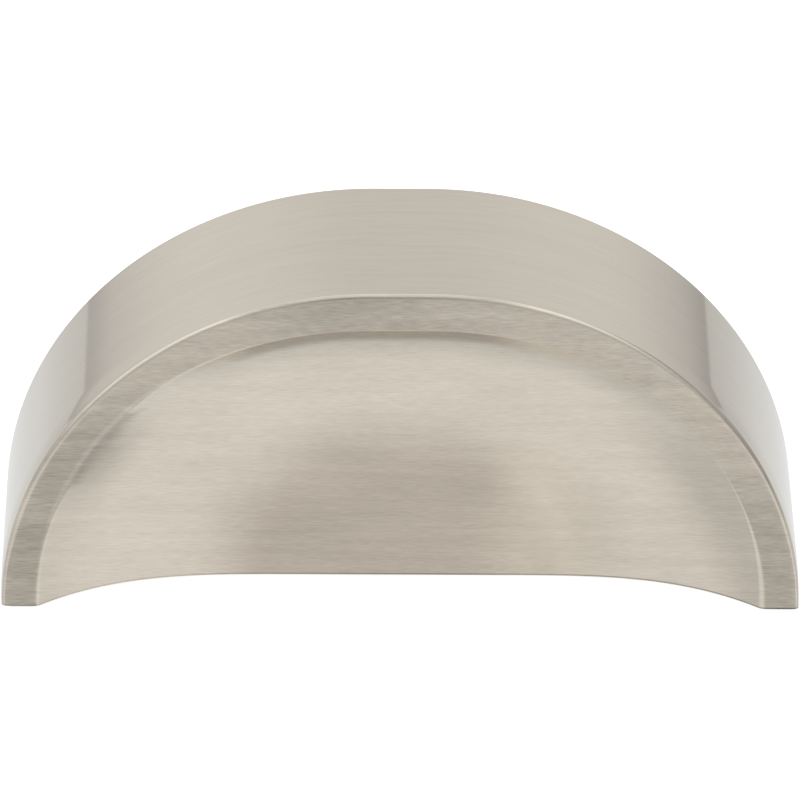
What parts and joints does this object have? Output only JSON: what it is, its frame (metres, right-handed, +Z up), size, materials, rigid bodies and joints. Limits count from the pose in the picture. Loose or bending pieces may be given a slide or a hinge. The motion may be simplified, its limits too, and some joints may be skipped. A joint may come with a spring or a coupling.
{
  "type": "arch pull",
  "caption": "Arched cup pull for a drawer: a satin metal hood with a dished front, open behind and below for the fingers, with screw bosses inside.",
  "frame": {"origin": "on the drawer front, in the plane of the seat, midway between the axes of the two screws", "axes": "+X across the drawer front to the right as seen from the room, +Y into the drawer front, +Z up towards the crown of the arch"},
  "size_m": [0.086, 0.025, 0.038],
  "materials": {
    "satin_nickel": "satin nickel plate over a zinc casting, brushed along the arch on the band and across on the front"
  },
  "bodies": {
    "root": {"arch_pull": "satin_nickel"}
  },
  "joints": []
}
